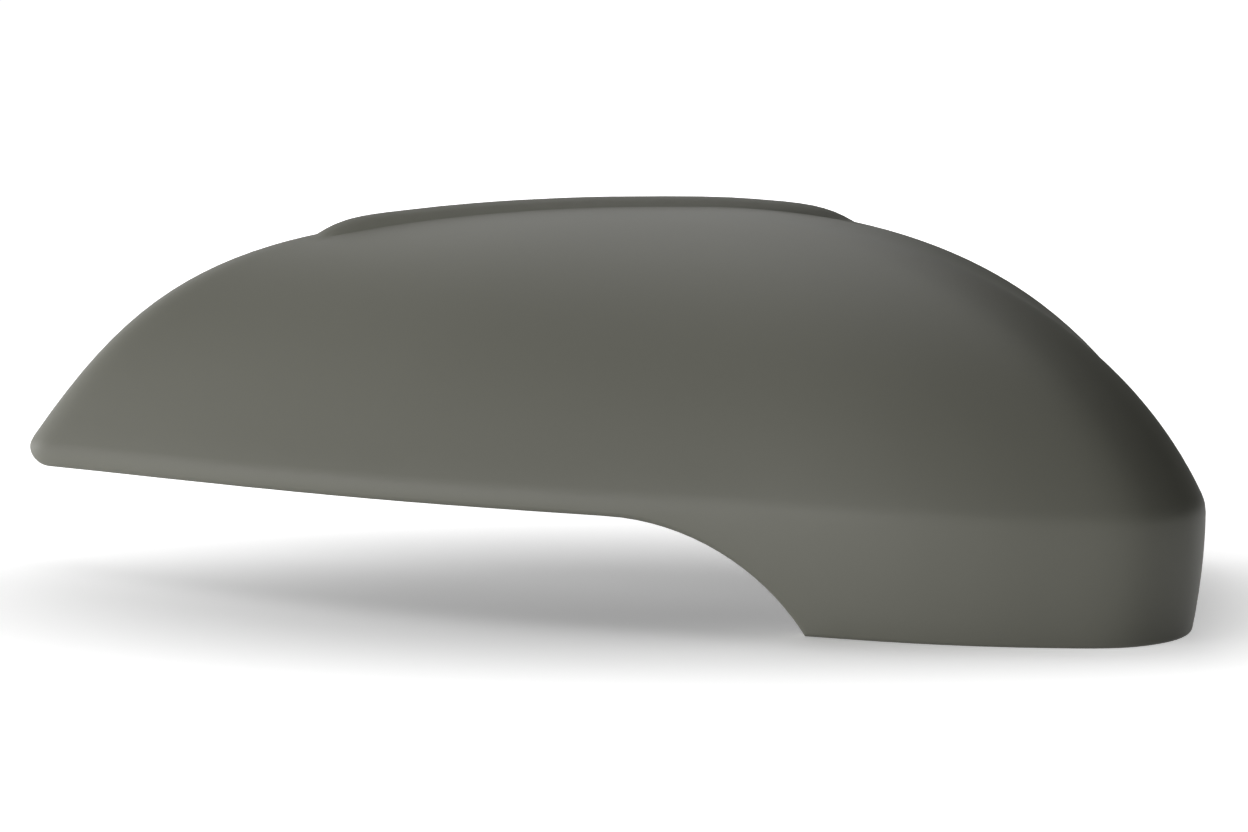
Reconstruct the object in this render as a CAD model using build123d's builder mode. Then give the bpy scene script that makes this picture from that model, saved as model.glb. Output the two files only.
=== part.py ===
"""Cap of a door mirror: the painted outer shell, moulded in one piece.

The shell faces forward (-Y), its outboard tip points to -X and its foot stands at +X.
It is open at the back, at the lamp notch below the tip, and under the foot.
The origin lies on the axis of the main locating pin, at the pin's shoulder.
"""

import os
from math import acos, cos, pi, radians, sin, tan

from build123d import *

# Where the main planes lie, measured from the main locating pin
pin_to_rim = 38.0  # pin shoulder back to the rear rim
pin_to_base = 44.0  # pin axis down to the foot's lower edge

# Overall form
crest_height = 68.0  # top of the shell above the foot's lower edge
crease_height = 22.5  # the soft crease that runs round the front
front_depth = 89.1  # rear rim to the most forward point of the crease
foot_reach = 100.1  # pin to the end wall of the foot
foot_flare = 4.5  # the end wall moves outward by this on its way to the rim
foot_slope = 0.12  # outward slope of the end wall at the rim
corner_radius = 19.5  # plan rounding between the front and the end wall
wall = 2.5  # nominal wall thickness

# Plan of the crease: how far out from the pin, how far ahead of the rim
tip_reach = 114.2
tip_radius = 11.0
tip_sweep = 58.5  # angle the tip rounding turns through, degrees
outer_front = (41.5, 49.3)
inner_front = (-21.5, 75.3)
rear_margin = 5.0  # the form is drawn this far behind the rim and then cut back
base_margin = 4.0  # and this far below the foot's lower edge
station_count = 44

# Section of the shell above the crease
front_lean = 24.3  # lean of the wall above the crease at the front, degrees
side_lean = 35.8  # the same at the tip and at the end wall
front_rise = 0.57  # how far the wall keeps that lean, as a share of its height
tip_rise = 0.83
end_rise = 0.51
crest_run = 0.645  # how far the top runs level, as a share of the section's reach
crease_softness = 1.6  # half the breadth of the soft crease
crease_set = 0.03  # the crease is this much flatter than tangent, so it stays a face of its own

# Section of the shell below the crease
tuck = 3.2  # the lower wall draws in by this at the foot's lower edge
tuck_start = 9.0  # height where it starts to draw in

# Axis the sections fan out from, behind the rim
hub_offset = 3.9
hub_behind = 12.0
hub_radius = 8.0

# Lamp notch under the tip
notch_height = 18.9
notch_radius = 40.0
notch_foot = 31.0  # pin to the notch where it meets the foot's lower edge
tip_corner = 5.0  # rounding of the tip's lower corner
notch_edge = 1.0  # rounding of the notch's outer edge
notch_margin = 9.0  # the cut reaches this far past the tip
touching = 0.01  # an edge this close to the outer form lies on it

# Lip on top of the rear rim, which sweeps up from the shell to a thin edge
lip_start = 0.28  # places along the rim are shares of its arch, from the foot's end
lip_end = 0.74
lip_height = 1.8
lip_crown = 1.8  # how far its top runs level
lip_foot = 2.4  # how far ahead of the rim its front sweeps down
lip_run = 6.0  # how far ahead of the rim its root reaches
lip_root = 1.0  # depth of the root in the wall
lip_bury = 0.4  # depth at which it starts and ends in the wall
lip_ramp = 0.125  # share of its length over which it rises at each end
lip_behind = 1.0  # drawn this far behind the rim and then cut back
lip_steps = 16

# Rebate inside the rear rim, where the mirror frame's edge slides in
rebate_length = 3.0

# Locating pins on cross-shaped posts
pin_spacing = 60.0
pin_diameter = 5.0
pin_length = 8.0
pin_chamfer = 0.8
post_core = 7.0  # the pin's shoulder stands out from the pin all round
post_width = 12.0
post_web = 1.6

# Snap hooks inside the rim: a tongue that stands off the wall, with a nose on its inner side
hook_places = (0.08, 0.31, 0.5, 0.69, 0.9)
hook_width = 10.0
hook_thickness = 2.0
hook_gap = 3.0
hook_length = 14.0
hook_root = 5.0
hook_setback = 2.0  # hook tip to the rim
hook_nose = 1.6
hook_lead = 4.5  # length of the nose's sloping lead-in

# Stiffening ribs across the inside
rib_places = (-78.0, -28.0, 26.0)
rib_thickness = 1.2
rib_height = 4.0
rib_setback = 9.0  # rib end to the rim
rib_start = 6.0  # above the crease

rim_y = pin_to_rim
base_z = -pin_to_base
hub_y = rim_y + hub_behind
crease_z = base_z + crease_height
crest_z = base_z + crest_height
front_y = rim_y - front_depth
below_base = base_z - base_margin

tip_start = Vector(-tip_reach, rim_y + rear_margin)
tip_turn = radians(tip_sweep)
tip_centre = Vector(-tip_reach + tip_radius, rim_y)
tip_end = tip_centre - Vector(cos(tip_turn), sin(tip_turn)) * tip_radius
corner_start = Vector(foot_reach - corner_radius, front_y)
corner_end = Vector(foot_reach, front_y + corner_radius)

with BuildLine() as plan:
    Line(tip_start, (-tip_reach, rim_y))
    RadiusArc((-tip_reach, rim_y), tip_end, -tip_radius)
    Spline(
        tip_end,
        (-outer_front[0], rim_y - outer_front[1]),
        (-inner_front[0], rim_y - inner_front[1]),
        corner_start,
        tangents=((sin(tip_turn), -cos(tip_turn)), (1, 0)),
    )
    RadiusArc(corner_start, corner_end, -corner_radius)
    Spline(
        corner_end,
        (foot_reach + foot_flare, rim_y + rear_margin),
        tangents=((0, 1), (foot_slope, 1)),
    )

crease_plan = plan.wire()
stations = []
for step in range(station_count + 1):
    foot = crease_plan.position_at(step / station_count, PositionMode.PARAMETER)
    heading = crease_plan.tangent_at(step / station_count, PositionMode.PARAMETER)
    stations.append((foot, heading))


def draw_section(foot, heading, inset):
    """Draw the closed upright section of the form at one station, moved inward by the inset."""
    point = foot + Vector(-heading.Y, heading.X) * inset
    reach = Vector(point.X - hub_offset, point.Y - hub_y)
    side = (reach.X / reach.length) ** 2
    far_rise = tip_rise if reach.X < 0 else end_rise
    lean = radians(front_lean + (side_lean - front_lean) * side)
    low_z = crease_z - inset * tan(lean / 2)
    top_z = crest_z - inset
    rise = (front_rise + (far_rise - front_rise) * side) * (top_z - low_z)
    run = crest_run * (reach.length - hub_radius)
    corner = Vector(reach.length, low_z)
    up = Vector(-sin(lean), cos(lean))
    above = corner + up * crease_softness
    below = corner - Vector(0, crease_softness)
    upright = Plane((hub_offset, hub_y, 0), x_dir=reach, z_dir=reach.cross(Vector(0, 0, 1)))
    with BuildSketch(upright) as section:
        with BuildLine():
            Bezier((corner.X - tuck, below_base), (corner.X, base_z + tuck_start), below)
            Bezier(below, corner - Vector(crease_set, 0), above)
            Bezier(above, corner + up * rise, (hub_radius + run, top_z), (hub_radius, top_z))
            Polyline((hub_radius, top_z), (hub_radius, below_base), (corner.X - tuck, below_base))
        make_face()
    return section.sketch


with BuildPart() as outer_form:
    loft(sections=[draw_section(foot, heading, 0) for foot, heading in stations])

outer_faces = outer_form.faces()

with BuildPart() as middle_form:
    loft(sections=[draw_section(foot, heading, wall / 2) for foot, heading in stations])

with BuildPart() as inner_form:
    loft(sections=[draw_section(foot, heading, wall) for foot, heading in stations])

with BuildPart() as rib_limit:
    loft(sections=[draw_section(foot, heading, wall + rib_height) for foot, heading in stations])

notch_z = base_z + notch_height
notch_turn = acos(1 - notch_height / notch_radius)
notch_start = notch_foot - notch_radius * sin(notch_turn)

with BuildPart() as shell:
    add(outer_form.part)
    split(bisect_by=Plane.XZ.offset(-rim_y), keep=Keep.TOP)
    split(bisect_by=Plane.XY.offset(base_z), keep=Keep.TOP)
    arch = shell.edges().filter_by_position(Axis.Y, rim_y, rim_y).sort_by(SortBy.LENGTH)[-1]
    add(inner_form.part, mode=Mode.SUBTRACT)
    with BuildSketch(Plane.XZ):
        with BuildLine():
            Line((-tip_reach, crest_z), (-tip_reach, notch_z + tip_corner))
            RadiusArc((-tip_reach, notch_z + tip_corner), (-tip_reach + tip_corner, notch_z), -tip_corner)
            Line((-tip_reach + tip_corner, notch_z), (notch_start, notch_z))
            RadiusArc((notch_start, notch_z), (notch_foot, base_z), notch_radius)
            Polyline(
                (notch_foot, base_z),
                (notch_foot, below_base),
                (-tip_reach - notch_margin, below_base),
                (-tip_reach - notch_margin, crest_z),
                (-tip_reach, crest_z),
            )
        make_face()
    extrude(amount=2 * front_depth, both=True, mode=Mode.SUBTRACT)

    notch_rim = []
    for cut_face in shell.faces(Select.LAST):
        if abs(cut_face.normal_at().Y) < touching:
            for edge in cut_face.edges():
                if min(face.distance_to(edge @ 0.5) for face in outer_faces) < touching:
                    notch_rim.append(edge)
    fillet(notch_rim, notch_edge)

with BuildPart() as rebate:
    add(middle_form.part)
    split(bisect_by=Plane.XZ.offset(rebate_length - rim_y), keep=Keep.BOTTOM)

skin = outer_faces.sort_by(SortBy.AREA)[-1]
lip_sections = []
for step in range(lip_steps + 1):
    share = step / lip_steps
    place = lip_start + (lip_end - lip_start) * share
    ramp = min(share, 1 - share, lip_ramp) / lip_ramp
    top = lip_bury - (lip_height + lip_bury) * sin(pi * ramp / 2) ** 2
    along = arch % place
    across = along.cross(skin.normal_at(arch @ place))
    with BuildSketch(Plane(arch @ place, x_dir=across, z_dir=along)) as lip_section:
        with BuildLine():
            Bezier(
                (lip_behind, top),
                (-lip_crown, top),
                (-lip_foot, lip_bury),
                (-lip_run / 2, lip_bury),
                (-lip_run, lip_root),
            )
            Polyline((-lip_run, lip_root), (lip_behind, lip_root), (lip_behind, top))
        make_face()
    lip_sections.append(lip_section.sketch)

with BuildPart() as lip:
    loft(sections=lip_sections)
    split(bisect_by=Plane.XZ.offset(-rim_y), keep=Keep.TOP)

with BuildPart() as posts:
    with BuildSketch(Plane.XZ):
        with Locations((0, 0), (pin_spacing, 0)):
            Rectangle(post_web, post_width)
            Rectangle(post_width, post_web)
            Circle(post_core / 2)
    extrude(amount=front_depth)
    add(middle_form.part, mode=Mode.INTERSECT)
    with BuildSketch(Plane.XZ):
        with Locations((0, 0), (pin_spacing, 0)):
            Circle(pin_diameter / 2)
    extrude(amount=-pin_length)
    chamfer(posts.edges().group_by(Axis.Y)[-1], pin_chamfer)

hook_back = hook_setback + hook_length
hook_top = wall + hook_gap
hook_under = hook_top + hook_thickness

with BuildPart() as hooks:
    for place in hook_places:
        with BuildSketch(Plane(arch @ place, x_dir=(0, 1, 0), z_dir=arch % place)):
            with BuildLine():
                Polyline(
                    (-hook_back - hook_root, 0),
                    (-hook_back, 0),
                    (-hook_back, hook_top),
                    (-hook_setback, hook_top),
                    (-hook_setback, hook_under - hook_thickness / 2),
                    (-hook_setback - hook_lead, hook_under + hook_nose),
                    (-hook_setback - hook_lead - hook_nose / 2, hook_under),
                    (-hook_back - hook_root, hook_under),
                    close=True,
                )
            make_face()
        extrude(amount=hook_width / 2, both=True)
    add(middle_form.part, mode=Mode.INTERSECT)

with BuildPart() as ribs:
    with Locations(*((place, rim_y - rib_setback, crease_z + rib_start) for place in rib_places)):
        Box(rib_thickness, front_depth, crest_height, align=(Align.CENTER, Align.MAX, Align.MIN))
    add(middle_form.part, mode=Mode.INTERSECT)
    add(rib_limit.part, mode=Mode.SUBTRACT)

with BuildPart() as mirror_cap:
    add(shell.part)
    add(lip.part)
    add(rebate.part, mode=Mode.SUBTRACT)
    add(posts.part)
    add(hooks.part)
    add(ribs.part)

os.makedirs("parts", exist_ok=True)
mirror_cap.part.label = "mirror_cap"
export_step(mirror_cap.part, "parts/mirror_cap.step")
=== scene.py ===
"""Primed cap of a door mirror on a pale floor, seen from the front."""

import logging
from dataclasses import dataclass
from enum import Enum
from math import radians

import bpy
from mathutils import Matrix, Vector


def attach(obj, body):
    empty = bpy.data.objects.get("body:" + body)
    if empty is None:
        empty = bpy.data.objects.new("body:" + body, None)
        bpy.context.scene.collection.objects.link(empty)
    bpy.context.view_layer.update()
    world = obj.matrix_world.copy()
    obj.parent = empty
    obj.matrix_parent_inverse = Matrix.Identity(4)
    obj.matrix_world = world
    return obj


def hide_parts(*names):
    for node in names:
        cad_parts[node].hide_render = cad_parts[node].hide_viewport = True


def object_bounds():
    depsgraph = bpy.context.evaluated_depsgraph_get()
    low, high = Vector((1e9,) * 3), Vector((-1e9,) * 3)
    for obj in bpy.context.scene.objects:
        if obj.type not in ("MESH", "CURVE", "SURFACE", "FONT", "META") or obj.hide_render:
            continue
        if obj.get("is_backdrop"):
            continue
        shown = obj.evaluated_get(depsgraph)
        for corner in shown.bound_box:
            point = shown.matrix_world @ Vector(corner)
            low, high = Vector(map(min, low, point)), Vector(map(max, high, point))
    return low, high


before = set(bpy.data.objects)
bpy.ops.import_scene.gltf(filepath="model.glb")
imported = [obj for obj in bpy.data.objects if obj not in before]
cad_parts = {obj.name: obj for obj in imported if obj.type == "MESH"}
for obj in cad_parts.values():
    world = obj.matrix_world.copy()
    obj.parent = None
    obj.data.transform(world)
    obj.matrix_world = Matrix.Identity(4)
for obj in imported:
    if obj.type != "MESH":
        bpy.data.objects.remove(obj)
cad_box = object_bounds()

LOG = logging.getLogger("mirror_cap")
NODE = "mirror_cap"
INSIDE_MASK = "inside"
WHITE = (1.0, 1.0, 1.0, 1.0)


class Domain(Enum):
    """Parts of a mesh that a geometry node works on."""

    EDGE = "EDGE"
    FACE = "FACE"


def linear(red: int, green: int, blue: int) -> tuple[float, float, float, float]:
    """Turn a screen colour into a linear one.

    Args:
        red: Screen value from 0 to 255.
        green: Screen value from 0 to 255.
        blue: Screen value from 0 to 255.

    Returns:
        The linear colour with full alpha.
    """
    # The numbers are those of the standard screen curve.
    channels = []
    for value in (red, green, blue):
        share = value / 255
        channels.append(share / 12.92 if share <= 0.04045 else ((share + 0.055) / 1.055) ** 2.4)
    return (channels[0], channels[1], channels[2], 1.0)


class ColourMix:
    """A mix node for colours, with its sockets under plain names."""

    def __init__(self, nodes: bpy.types.Nodes) -> None:
        """Add the node.

        Args:
            nodes: The nodes of the material.
        """
        node = nodes.new("ShaderNodeMix")
        node.data_type = "RGBA"
        sockets = {socket.identifier: socket for socket in node.inputs}
        self.factor = sockets["Factor_Float"]
        self.first = sockets["A_Color"]
        self.second = sockets["B_Color"]
        self.result = next(socket for socket in node.outputs if socket.identifier == "Result_Color")


@dataclass(frozen=True)
class SprayedSurface:
    """Shader group for the fine orange peel and slow tone drift of sprayed plastic."""

    name: str = "sprayed_surface"
    peel_scale: float = 900.0
    drift_scale: float = 14.0
    detail: float = 2.0

    def build(self) -> bpy.types.ShaderNodeTree:
        """Build the group once.

        Returns:
            A group with a Tone value and a Height value that change over the surface.
        """
        tree = bpy.data.node_groups.new(self.name, "ShaderNodeTree")
        nodes, links = tree.nodes, tree.links
        given = nodes.new("NodeGroupInput")
        result = nodes.new("NodeGroupOutput")
        place = nodes.new("ShaderNodeTexCoord")
        for scale, value, output in (
            ("Peel Scale", self.peel_scale, "Height"),
            ("Drift Scale", self.drift_scale, "Tone"),
        ):
            socket = tree.interface.new_socket(scale, in_out="INPUT", socket_type="NodeSocketFloat")
            socket.default_value = value
            tree.interface.new_socket(output, in_out="OUTPUT", socket_type="NodeSocketFloat")
            noise = nodes.new("ShaderNodeTexNoise")
            noise.inputs["Detail"].default_value = self.detail
            links.new(place.outputs["Object"], noise.inputs["Vector"])
            links.new(given.outputs[scale], noise.inputs["Scale"])
            links.new(noise.outputs["Fac"], result.inputs[output])
        return tree


@dataclass(frozen=True)
class PrimerFinish:
    """Grey primer outside, bare moulded plastic with overspray inside."""

    name: str = "grey_primer"
    coat: tuple[int, int, int] = (121, 121, 111)
    coat_shade: tuple[int, int, int] = (117, 117, 107)
    bare: tuple[int, int, int] = (52, 53, 52)
    coat_roughness: float = 0.55
    bare_roughness: float = 0.58
    specular: float = 0.5
    peel_depth: float = 0.00002
    peel_strength: float = 0.12

    def build(self, sprayed: bpy.types.ShaderNodeTree) -> bpy.types.Material:
        """Build the material.

        Args:
            sprayed: The shared group for sprayed plastic.

        Returns:
            The finished material.
        """
        material = bpy.data.materials.new(self.name)
        material.use_nodes = True
        nodes, links = material.node_tree.nodes, material.node_tree.links
        shader = nodes["Principled BSDF"]
        shader.inputs["Specular IOR Level"].default_value = self.specular
        group = nodes.new("ShaderNodeGroup")
        group.node_tree = sprayed
        inside = nodes.new("ShaderNodeAttribute")
        inside.attribute_name = INSIDE_MASK
        coat = ColourMix(nodes)
        coat.first.default_value = linear(*self.coat_shade)
        coat.second.default_value = linear(*self.coat)
        links.new(group.outputs["Tone"], coat.factor)
        colour = ColourMix(nodes)
        colour.second.default_value = linear(*self.bare)
        links.new(inside.outputs["Fac"], colour.factor)
        links.new(coat.result, colour.first)
        links.new(colour.result, shader.inputs["Base Color"])
        gloss = nodes.new("ShaderNodeMapRange")
        gloss.inputs["To Min"].default_value = self.coat_roughness
        gloss.inputs["To Max"].default_value = self.bare_roughness
        links.new(inside.outputs["Fac"], gloss.inputs["Value"])
        links.new(gloss.outputs["Result"], shader.inputs["Roughness"])
        bump = nodes.new("ShaderNodeBump")
        bump.inputs["Strength"].default_value = self.peel_strength
        bump.inputs["Distance"].default_value = self.peel_depth
        links.new(group.outputs["Height"], bump.inputs["Height"])
        links.new(bump.outputs["Normal"], shader.inputs["Normal"])
        return material


@dataclass(frozen=True)
class FloorFinish:
    """Pale floor with painted shade: its glow is dimmed near the cap to darken the floor around the
    soft shadow, and it turns plain white away from the cap.
    """

    name: str = "pale_floor"
    paint: tuple[float, float, float, float] = (0.92, 0.92, 0.92, 1.0)
    # Glow near the cap, kept low so that it paints shade around the cap.
    painted_shade_glow: float = 0.12
    glow_far: float = 1.0
    near: float = 0.03
    far: float = 0.22
    narrowing: float = 1.8
    roughness: float = 0.9
    specular: float = 0.0

    def build(self) -> bpy.types.Material:
        """Build the floor material.

        Returns:
            Diffuse paint with a glow that the camera and reflections see, dimmed near the cap as
            painted shade.
        """
        material = bpy.data.materials.new(self.name)
        material.use_nodes = True
        nodes, links = material.node_tree.nodes, material.node_tree.links
        shader = nodes["Principled BSDF"]
        shader.inputs["Base Color"].default_value = self.paint
        shader.inputs["Roughness"].default_value = self.roughness
        shader.inputs["Specular IOR Level"].default_value = self.specular
        shader.inputs["Emission Color"].default_value = WHITE
        place = nodes.new("ShaderNodeTexCoord")
        oval = nodes.new("ShaderNodeVectorMath")
        oval.operation = "MULTIPLY"
        oval.inputs[1].default_value = (1.0, self.narrowing, 1.0)
        links.new(place.outputs["Object"], oval.inputs[0])
        reach = nodes.new("ShaderNodeVectorMath")
        reach.operation = "LENGTH"
        links.new(oval.outputs["Vector"], reach.inputs[0])
        # Painted shade: the glow is weakest near the cap and full far away, so the floor around the
        # cap and its shadow is painted darker than the lamps make it.
        glow = nodes.new("ShaderNodeMapRange")
        glow.interpolation_type = "SMOOTHSTEP"
        for name, value in (
            ("From Min", self.near),
            ("From Max", self.far),
            ("To Min", self.painted_shade_glow),
            ("To Max", self.glow_far),
        ):
            glow.inputs[name].default_value = value
        links.new(reach.outputs["Value"], glow.inputs["Value"])
        seen = seen_rays(nodes, links)
        strength = nodes.new("ShaderNodeMath")
        strength.operation = "MULTIPLY"
        links.new(glow.outputs["Result"], strength.inputs[0])
        links.new(seen, strength.inputs[1])
        links.new(strength.outputs["Value"], shader.inputs["Emission Strength"])
        return material


def seen_rays(nodes: bpy.types.Nodes, links: bpy.types.NodeLinks) -> bpy.types.NodeSocket:
    """Add the sum of the rays that show a backdrop: camera, glossy and transmission rays.

    Args:
        nodes: The nodes to add to.
        links: The links to add to.

    Returns:
        A socket that is 1 for such rays and 0 for the light that falls on the cap.
    """
    path = nodes.new("ShaderNodeLightPath")
    total = path.outputs["Is Camera Ray"]
    for name in ("Is Glossy Ray", "Is Transmission Ray"):
        larger = nodes.new("ShaderNodeMath")
        larger.operation = "MAXIMUM"
        links.new(total, larger.inputs[0])
        links.new(path.outputs[name], larger.inputs[1])
        total = larger.outputs["Value"]
    return total


@dataclass
class CapShell:
    """The moulded cap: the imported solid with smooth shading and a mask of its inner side."""

    merge_gap: float = 0.000001
    smooth_angle: float = radians(24)
    probe_lift: float = 0.0002
    probe_reach: float = 0.2
    hub: tuple[float, float, float] = (0.004, 0.06, -0.015)
    rim_band: float = 0.0035
    rim_facing: float = 0.5

    def build(self, material: bpy.types.Material) -> bpy.types.Object:
        """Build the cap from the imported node.

        Args:
            material: The finish of the cap.

        Returns:
            The finished piece, on its body.
        """
        carrier = bpy.data.objects.new("cap_shell_source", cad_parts[NODE].data.copy())
        bpy.context.scene.collection.objects.link(carrier)
        modifier = carrier.modifiers.new("moulded_skin", "NODES")
        modifier.node_group = self._tree(material)
        self._set_inputs(modifier)
        bpy.context.view_layer.update()
        evaluated = carrier.evaluated_get(bpy.context.evaluated_depsgraph_get())
        mesh = bpy.data.meshes.new_from_object(evaluated)
        bpy.data.objects.remove(carrier)
        mesh.name = "cap_shell"
        shell = bpy.data.objects.new("cap_shell", mesh)
        bpy.context.scene.collection.objects.link(shell)
        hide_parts(NODE)
        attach(shell, "root")
        return shell

    def _sizes(self) -> dict[str, float]:
        """Give the tree's inputs that are plain sizes.

        Returns:
            Each input's name and value.
        """
        return {
            "Merge Gap": self.merge_gap,
            "Smooth Angle": self.smooth_angle,
            "Probe Lift": self.probe_lift,
            "Probe Reach": self.probe_reach,
            "Rim Start": cad_box[1][1] - self.rim_band,
            "Rim Facing": self.rim_facing,
        }

    def _set_inputs(self, modifier: bpy.types.NodesModifier) -> None:
        """Set the modifier's inputs by their identifiers.

        Args:
            modifier: The modifier that holds the tree.
        """
        values = {**self._sizes(), "Hub": self.hub}
        for socket in modifier.node_group.interface.items_tree:
            if socket.name in values:
                modifier[socket.identifier] = values[socket.name]

    def _tree(self, material: bpy.types.Material) -> bpy.types.GeometryNodeTree:
        """Build the tree that welds the solid, smooths it and marks its inner side.

        Args:
            material: The finish set on the result.

        Returns:
            The geometry tree with named inputs for its sizes.
        """
        tree = bpy.data.node_groups.new("moulded_skin", "GeometryNodeTree")
        sockets = tree.interface
        sockets.new_socket("Geometry", in_out="INPUT", socket_type="NodeSocketGeometry")
        for name in self._sizes():
            sockets.new_socket(name, in_out="INPUT", socket_type="NodeSocketFloat")
        sockets.new_socket("Hub", in_out="INPUT", socket_type="NodeSocketVector")
        sockets.new_socket("Geometry", in_out="OUTPUT", socket_type="NodeSocketGeometry")
        nodes, links = tree.nodes, tree.links
        given = nodes.new("NodeGroupInput")
        result = nodes.new("NodeGroupOutput")
        weld = nodes.new("GeometryNodeMergeByDistance")
        links.new(given.outputs["Geometry"], weld.inputs["Geometry"])
        links.new(given.outputs["Merge Gap"], weld.inputs["Distance"])
        everywhere = nodes.new("GeometryNodeSetShadeSmooth")
        everywhere.domain = Domain.FACE.value
        links.new(weld.outputs["Geometry"], everywhere.inputs["Geometry"])
        angle = nodes.new("GeometryNodeInputMeshEdgeAngle")
        gentle = nodes.new("FunctionNodeCompare")
        gentle.operation = "LESS_THAN"
        links.new(angle.outputs["Unsigned Angle"], gentle.inputs["A"])
        links.new(given.outputs["Smooth Angle"], gentle.inputs["B"])
        edges = nodes.new("GeometryNodeSetShadeSmooth")
        edges.domain = Domain.EDGE.value
        links.new(everywhere.outputs["Geometry"], edges.inputs["Geometry"])
        links.new(gentle.outputs["Result"], edges.inputs["Shade Smooth"])
        inner = self._inner_side(nodes, links, given, edges.outputs["Geometry"])
        store = nodes.new("GeometryNodeStoreNamedAttribute")
        store.domain = Domain.FACE.value
        store.data_type = "FLOAT"
        store.inputs["Name"].default_value = INSIDE_MASK
        links.new(edges.outputs["Geometry"], store.inputs["Geometry"])
        links.new(inner, store.inputs["Value"])
        realize = nodes.new("GeometryNodeRealizeInstances")
        links.new(store.outputs["Geometry"], realize.inputs["Geometry"])
        finish = nodes.new("GeometryNodeSetMaterial")
        finish.inputs["Material"].default_value = material
        links.new(realize.outputs["Geometry"], finish.inputs["Geometry"])
        links.new(finish.outputs["Geometry"], result.inputs["Geometry"])
        return tree

    @staticmethod
    def _inner_side(
        nodes: bpy.types.Nodes,
        links: bpy.types.NodeLinks,
        given: bpy.types.Node,
        surface: bpy.types.NodeSocket,
    ) -> bpy.types.NodeSocket:
        """Add a probe that leaves each face away from the hub and tells if it meets the wall.

        Args:
            nodes: The nodes of the tree.
            links: The links of the tree.
            given: The tree's inputs.
            surface: The geometry that the probe can meet.

        Returns:
            A socket that is true on the inner side of the shell.
        """
        place = nodes.new("GeometryNodeInputPosition")
        normal = nodes.new("GeometryNodeInputNormal")
        lift = nodes.new("ShaderNodeVectorMath")
        lift.operation = "SCALE"
        links.new(normal.outputs["Normal"], lift.inputs[0])
        links.new(given.outputs["Probe Lift"], lift.inputs["Scale"])
        start = nodes.new("ShaderNodeVectorMath")
        start.operation = "ADD"
        links.new(place.outputs["Position"], start.inputs[0])
        links.new(lift.outputs["Vector"], start.inputs[1])
        outward = nodes.new("ShaderNodeVectorMath")
        outward.operation = "SUBTRACT"
        links.new(place.outputs["Position"], outward.inputs[0])
        links.new(given.outputs["Hub"], outward.inputs[1])
        probe = nodes.new("GeometryNodeRaycast")
        links.new(surface, probe.inputs["Target Geometry"])
        links.new(start.outputs["Vector"], probe.inputs["Source Position"])
        links.new(outward.outputs["Vector"], probe.inputs["Ray Direction"])
        links.new(given.outputs["Probe Reach"], probe.inputs["Ray Length"])
        rim = nodes.new("FunctionNodeBooleanMath")
        rim.operation = "AND"
        for index, (vector, limit) in enumerate(
            ((place.outputs["Position"], "Rim Start"), (normal.outputs["Normal"], "Rim Facing"))
        ):
            split = nodes.new("ShaderNodeSeparateXYZ")
            links.new(vector, split.inputs["Vector"])
            above = nodes.new("FunctionNodeCompare")
            above.operation = "GREATER_THAN"
            links.new(split.outputs["Y"], above.inputs["A"])
            links.new(given.outputs[limit], above.inputs["B"])
            links.new(above.outputs["Result"], rim.inputs[index])
        inner = nodes.new("FunctionNodeBooleanMath")
        inner.operation = "NIMPLY"
        links.new(probe.outputs["Is Hit"], inner.inputs[0])
        links.new(rim.outputs["Boolean"], inner.inputs[1])
        return inner.outputs["Boolean"]


@dataclass(frozen=True)
class Softbox:
    """One soft square light that faces the cap."""

    name: str
    place: tuple[float, float, float]
    size: float
    power: float

    def build(self, target: Vector) -> None:
        """Add the light.

        Args:
            target: The point that it faces.
        """
        data = bpy.data.lights.new(self.name, "AREA")
        data.size = self.size
        data.energy = self.power
        light = bpy.data.objects.new(self.name, data)
        light.location = self.place
        light.rotation_euler = (target - Vector(self.place)).to_track_quat("-Z", "Y").to_euler()
        bpy.context.scene.collection.objects.link(light)


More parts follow.
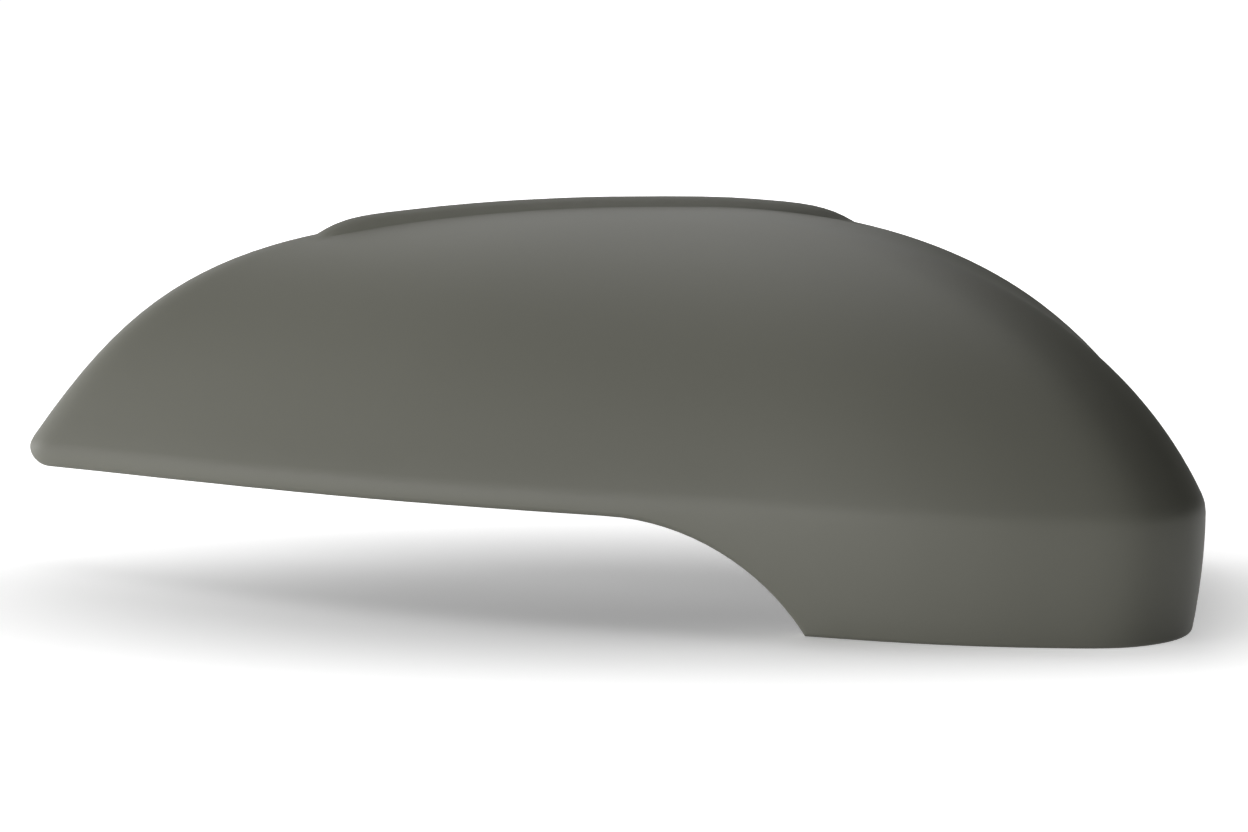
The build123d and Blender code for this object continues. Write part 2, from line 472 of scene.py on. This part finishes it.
@dataclass
class Studio:
    """Floor, soft lights, white surround and the camera."""

    floor_half: float = 12.0
    camera_place: tuple[float, float, float] = (0.0, -0.621, 0.076)
    camera_dip: float = radians(8)
    lens: float = 100.0
    sensor: float = 36.0
    farthest: float = 100.0
    surround: float = 0.04
    light_target: tuple[float, float, float] = (0.0, 0.0, -0.01)
    lights: tuple[Softbox, ...] = (
        Softbox("top_light", place=(-0.12, 0.4, 0.85), size=0.8, power=2.5),
        Softbox("rim_light", place=(-0.12, 0.95, 0.55), size=0.8, power=2.0),
        Softbox("back_light", place=(-0.8, 1.2, 0.35), size=1.0, power=3.0),
        Softbox("side_light", place=(-1.0, -0.6, 0.2), size=0.6, power=5.0),
        Softbox("low_light", place=(-0.7, -0.9, 0.02), size=0.1, power=2.5),
        Softbox("edge_light", place=(-1.2, 0.5, 0.15), size=0.3, power=4.0),
    )

    def build(self, floor_finish: FloorFinish) -> bpy.types.Object:
        """Build the stage around the cap.

        Args:
            floor_finish: The finish of the floor.

        Returns:
            The floor.
        """
        floor = self._floor(floor_finish)
        self._surround()
        self._camera()
        for light in self.lights:
            light.build(Vector(self.light_target))
        return floor

    def _floor(self, finish: FloorFinish) -> bpy.types.Object:
        """Add the floor under the cap's lowest point.

        Args:
            finish: The finish of the floor.

        Returns:
            The floor.
        """
        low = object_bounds()[0]
        half = self.floor_half
        mesh = bpy.data.meshes.new("floor")
        corners = [(-half, -half, 0), (half, -half, 0), (half, half, 0), (-half, half, 0)]
        mesh.from_pydata(corners, [], [(0, 1, 2, 3)])
        mesh.materials.append(finish.build())
        floor = bpy.data.objects.new("floor", mesh)
        floor.location.z = low[2]
        bpy.context.scene.collection.objects.link(floor)
        floor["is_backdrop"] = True
        return floor

    def _surround(self) -> None:
        """Make the surround white to the eye and a plain soft light to the cap."""
        world = bpy.data.worlds.new("surround")
        bpy.context.scene.world = world
        world.use_nodes = True
        nodes, links = world.node_tree.nodes, world.node_tree.links
        background = nodes["Background"]
        background.inputs["Color"].default_value = WHITE
        path = nodes.new("ShaderNodeLightPath")
        level = nodes.new("ShaderNodeMapRange")
        level.inputs["To Min"].default_value = self.surround
        level.inputs["To Max"].default_value = 1.0
        links.new(path.outputs["Is Camera Ray"], level.inputs["Value"])
        links.new(level.outputs["Result"], background.inputs["Strength"])

    def _camera(self) -> None:
        """Add the camera in front of the cap, looking slightly down."""
        data = bpy.data.cameras.new("camera")
        data.lens = self.lens
        data.sensor_width = self.sensor
        data.clip_end = self.farthest
        camera = bpy.data.objects.new("camera", data)
        camera.location = self.camera_place
        camera.rotation_euler = (radians(90) - self.camera_dip, 0, 0)
        bpy.context.scene.collection.objects.link(camera)
        bpy.context.scene.camera = camera


def main() -> None:
    """Build the cap and its stage in order."""
    logging.basicConfig(level=logging.INFO, format="%(name)s: %(message)s")
    bpy.context.scene.view_settings.view_transform = "Standard"
    finish = PrimerFinish().build(SprayedSurface().build())
    shell = CapShell().build(finish)
    LOG.info("%s has %d faces", shell.name, len(shell.data.polygons))
    floor = Studio().build(FloorFinish())
    LOG.info("%s is laid", floor.name)


if __name__ == "__main__":
    main()
